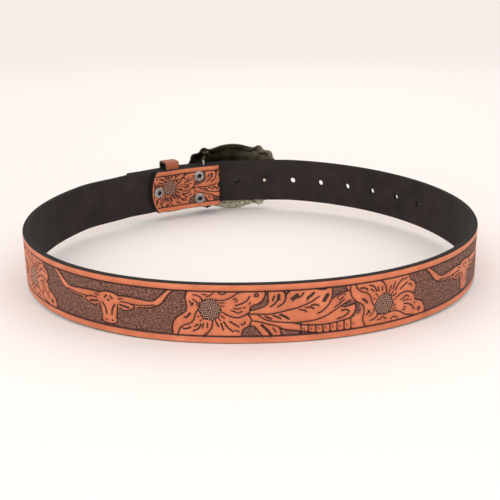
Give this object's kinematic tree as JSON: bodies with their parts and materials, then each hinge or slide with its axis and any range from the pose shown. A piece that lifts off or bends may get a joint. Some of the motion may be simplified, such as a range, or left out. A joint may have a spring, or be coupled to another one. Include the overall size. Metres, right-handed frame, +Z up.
{
  "type": "western tooled belt",
  "caption": "Wide leather waist belt, fastened in a loop: tooled outer face, dark lining, punched tongue, snapped flap, leather keeper and a large shaped plate buckle.",
  "frame": {"origin": "on the surface that the belt rests on, under the middle of its bounding box", "axes": "+Z up, out of the waist's opening; +Y towards the buckle plate; +X to the wearer's right"},
  "size_m": [0.3304, 0.3312, 0.062],
  "materials": {
    "tooled_leather": "tooled, satin",
    "lining_leather": "matt",
    "keeper_leather": "satin",
    "nickel": "worn",
    "aged_brass": "antiqued"
  },
  "bodies": {
    "root": {"strap": "tooled_leather", "strap_lining": "lining_leather", "keeper": "keeper_leather", "snap_1": "nickel", "snap_2": "nickel", "snap_3": "nickel", "buckle_plate": "aged_brass", "buckle_bail": "aged_brass"}
  },
  "joints": []
}
